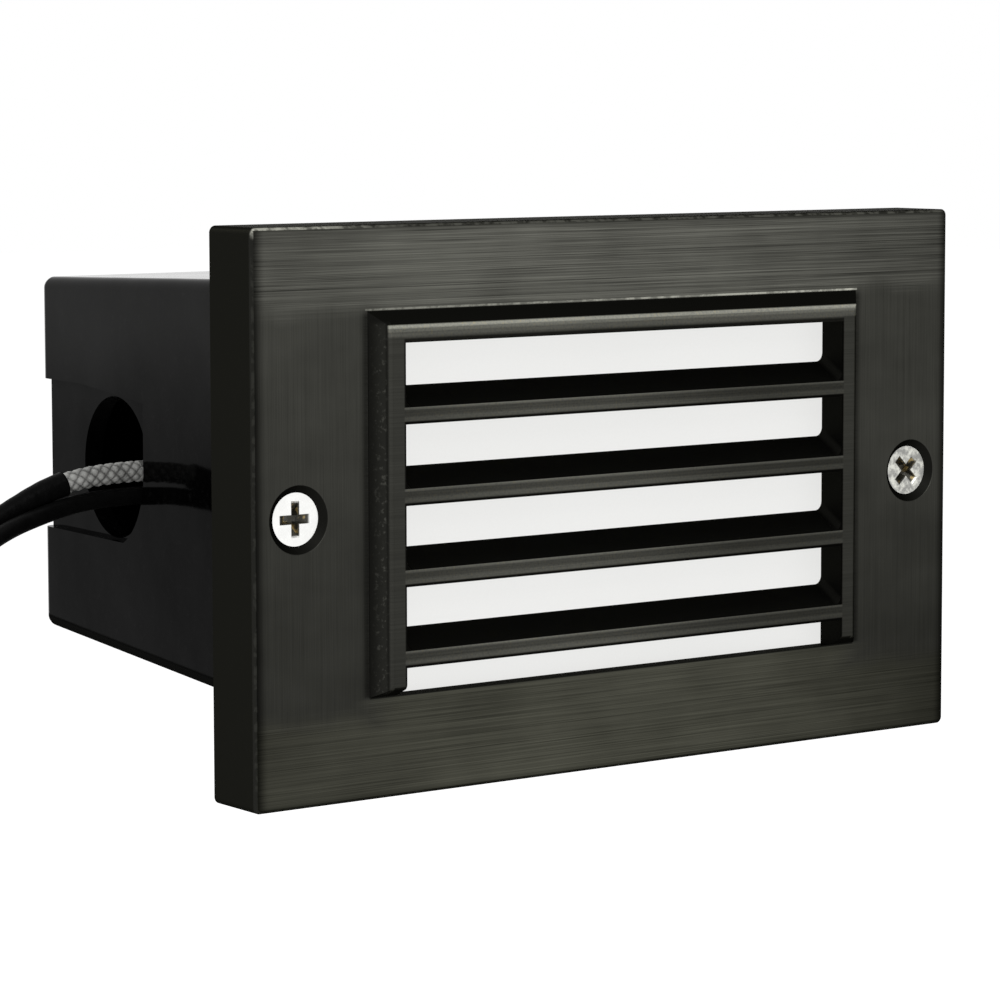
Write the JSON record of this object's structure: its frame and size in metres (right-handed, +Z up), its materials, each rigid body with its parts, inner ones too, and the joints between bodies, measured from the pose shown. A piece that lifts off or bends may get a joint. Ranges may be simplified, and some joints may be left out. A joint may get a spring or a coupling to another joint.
{
  "type": "recessed step light",
  "caption": "Recessed step light: louvred bronze face plate over a frosted lens, on a deep black housing with a side wire entry, reflector, lamp holder and two leads.",
  "frame": {"origin": "on the wall's surface, which is the plane of the housing flange's back, behind the middle of the face plate", "axes": "+X to the right of someone who faces the light, +Y into the wall, +Z up"},
  "size_m": [0.1543, 0.095, 0.199],
  "materials": {
    "bronze": "cast, dark patina, brushed",
    "black_moulding": "glossy black moulding",
    "frosted_glass": "frosted, lit from behind",
    "screw_steel": "bright, passivated",
    "silicone": "cured sealant, satin",
    "foam": "closed-cell foam, matt",
    "brass_insert": "plain brass, turned",
    "white_sheet": "white stoved paint on aluminium",
    "zinc": "zinc plated",
    "ceramic": "steatite, unglazed",
    "quartz": "clear, fire-polished",
    "pin_metal": "drawn wire",
    "rubber_black": "moulded, satin",
    "fibreglass": "braided sleeve, varnished",
    "shrink": "heat-shrunk, semi-gloss",
    "lead_black": "extruded insulation",
    "tinned": "tinned strands"
  },
  "bodies": {
    "fixture": {"housing": "black_moulding", "threaded_inserts": "brass_insert", "plate_gasket": "foam", "reflector": "white_sheet", "reflector_screws": "zinc", "socket_bracket": "zinc", "bracket_rivets": "zinc", "lamp_socket": "ceramic", "socket_contacts": "brass_insert", "socket_screws": "zinc", "lead_grommet": "rubber_black", "inner_lead_upper": "fibreglass", "inner_lead_lower": "lead_black", "lead_sleeve": "fibreglass", "lead_shrink_tube": "shrink", "lead_upper": "lead_black", "lead_lower": "lead_black", "lead_ends": "tinned"},
    "plate": {"face_plate": "bronze", "lens": "frosted_glass", "lens_seal": "silicone"},
    "screw_left": {"plate_screw_left": "screw_steel"},
    "screw_right": {"plate_screw_right": "screw_steel"},
    "lamp": {"lamp_bulb": "quartz", "lamp_pins": "pin_metal", "lamp_filament": "pin_metal"}
  },
  "joints": [
    {"name": "plate_lift_off", "type": "slide", "parent": "fixture", "child": "plate", "axis": [0, -1, 0], "range_m": [0, 0.04]},
    {"name": "left_screw_turn", "type": "hinge", "parent": "plate", "child": "screw_left", "pos_m": [-0.0574, 0, 0], "axis": [0, -1, 0], "continuous": true},
    {"name": "right_screw_turn", "type": "hinge", "parent": "plate", "child": "screw_right", "pos_m": [0.0574, 0, 0], "axis": [0, -1, 0], "continuous": true},
    {"name": "lamp_pull_out", "type": "slide", "parent": "fixture", "child": "lamp", "axis": [-1, 0, 0], "range_m": [0, 0.012]}
  ]
}
